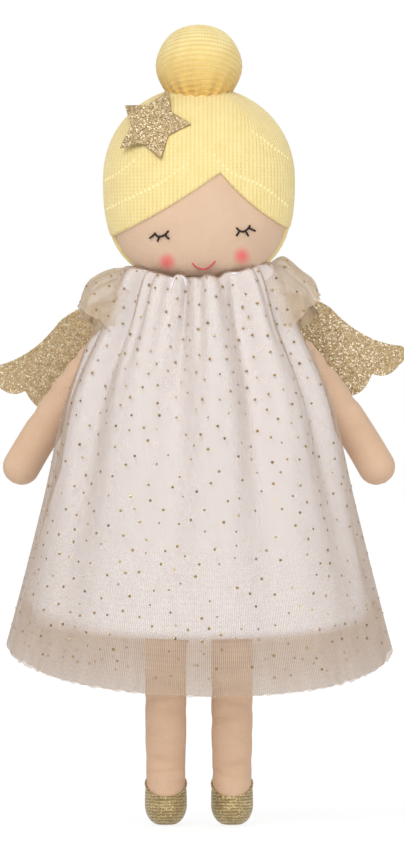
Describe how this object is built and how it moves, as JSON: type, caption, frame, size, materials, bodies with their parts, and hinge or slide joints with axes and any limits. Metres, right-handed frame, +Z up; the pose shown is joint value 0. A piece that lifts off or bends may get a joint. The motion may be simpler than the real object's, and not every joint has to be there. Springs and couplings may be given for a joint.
{
  "type": "plush angel doll",
  "caption": "Soft stuffed angel doll with a knitted hair bun, gathered tulle dress, glitter wings, hanging arms and legs and lamé shoes.",
  "frame": {"origin": "middle of the waist, where a hand or a doll stand's clip holds the limp doll upright", "axes": "+Z up to the bun, -Y the way the doll faces, +X to the doll's own left hand"},
  "size_m": [0.2643, 0.1674, 0.5009],
  "materials": {
    "skin_cotton": "matt woven cotton",
    "hair_knit": "fine rib knit",
    "star_glitter": "fine glitter felt",
    "wing_glitter": "coarse glitter cloth",
    "shoe_lame": "metallic woven cloth",
    "lining_cotton": "matt white cotton",
    "dress_tulle": "sheer net with gold dots",
    "lash_thread": "embroidery thread",
    "lip_thread": "embroidery thread",
    "fibre_filling": "loose polyester fibre",
    "elastic_cord": "covered elastic"
  },
  "bodies": {
    "torso": {"torso_cover": "skin_cotton", "torso_filling": "fibre_filling", "dress_lining": "lining_cotton", "dress_overlay": "dress_tulle", "neck_elastic": "elastic_cord", "left_sleeve_frill": "dress_tulle", "right_sleeve_frill": "dress_tulle"},
    "head": {"face_panel": "skin_cotton", "hair_back": "hair_knit", "hair_fringe": "hair_knit", "head_filling": "fibre_filling", "bun_cover": "hair_knit", "bun_filling": "fibre_filling", "hair_star": "star_glitter", "mouth_stitches": "lip_thread", "left_eye_stitches": "lash_thread", "right_eye_stitches": "lash_thread"},
    "left_arm": {"left_arm_cover": "skin_cotton", "left_arm_filling": "fibre_filling"},
    "right_arm": {"right_arm_cover": "skin_cotton", "right_arm_filling": "fibre_filling"},
    "hips": {"hip_band": "skin_cotton"},
    "left_leg": {"left_leg_cover": "skin_cotton", "left_leg_filling": "fibre_filling", "left_shoe": "shoe_lame"},
    "right_leg": {"right_leg_cover": "skin_cotton", "right_leg_filling": "fibre_filling", "right_shoe": "shoe_lame"},
    "left_wing": {"left_wing": "wing_glitter"},
    "right_wing": {"right_wing": "wing_glitter"}
  },
  "joints": [
    {"name": "head_turn", "type": "hinge", "parent": "torso", "child": "head", "pos_m": [0, 0, 0.07], "axis": [0, 0, 1], "range_deg": [-30, 30], "stiffness_Nm_per_rad": 0.05},
    {"name": "left_arm_raise", "type": "hinge", "parent": "torso", "child": "left_arm", "pos_m": [0.03918, 0.004, 0.047], "axis": [0, -1, 0], "range_deg": [0, 95], "deforming": ["left_sleeve_frill"]},
    {"name": "right_arm_raise", "type": "hinge", "parent": "torso", "child": "right_arm", "pos_m": [-0.03918, 0.004, 0.047], "axis": [0, 1, 0], "range_deg": [0, 95], "deforming": ["right_sleeve_frill"]},
    {"name": "sit_fold", "type": "hinge", "parent": "torso", "child": "hips", "pos_m": [0, 0, -0.069], "axis": [-1, 0, 0], "range_deg": [0, 90], "deforming": ["dress_lining", "dress_overlay"]},
    {"name": "left_leg_swing", "type": "hinge", "parent": "hips", "child": "left_leg", "pos_m": [0.02075, 0, -0.0798], "axis": [-1, 0, 0], "range_deg": [-20, 30]},
    {"name": "right_leg_swing", "type": "hinge", "parent": "hips", "child": "right_leg", "pos_m": [-0.02075, 0, -0.0798], "axis": [-1, 0, 0], "range_deg": [-20, 30]},
    {"name": "left_wing_flap", "type": "hinge", "parent": "torso", "child": "left_wing", "pos_m": [0.006, 0.0526, 0.02], "axis": [0, 0, 1], "range_deg": [0, 70], "stiffness_Nm_per_rad": 0.01},
    {"name": "right_wing_flap", "type": "hinge", "parent": "torso", "child": "right_wing", "pos_m": [-0.006, 0.0566, 0.02], "axis": [0, 0, -1], "range_deg": [0, 70], "stiffness_Nm_per_rad": 0.01}
  ]
}
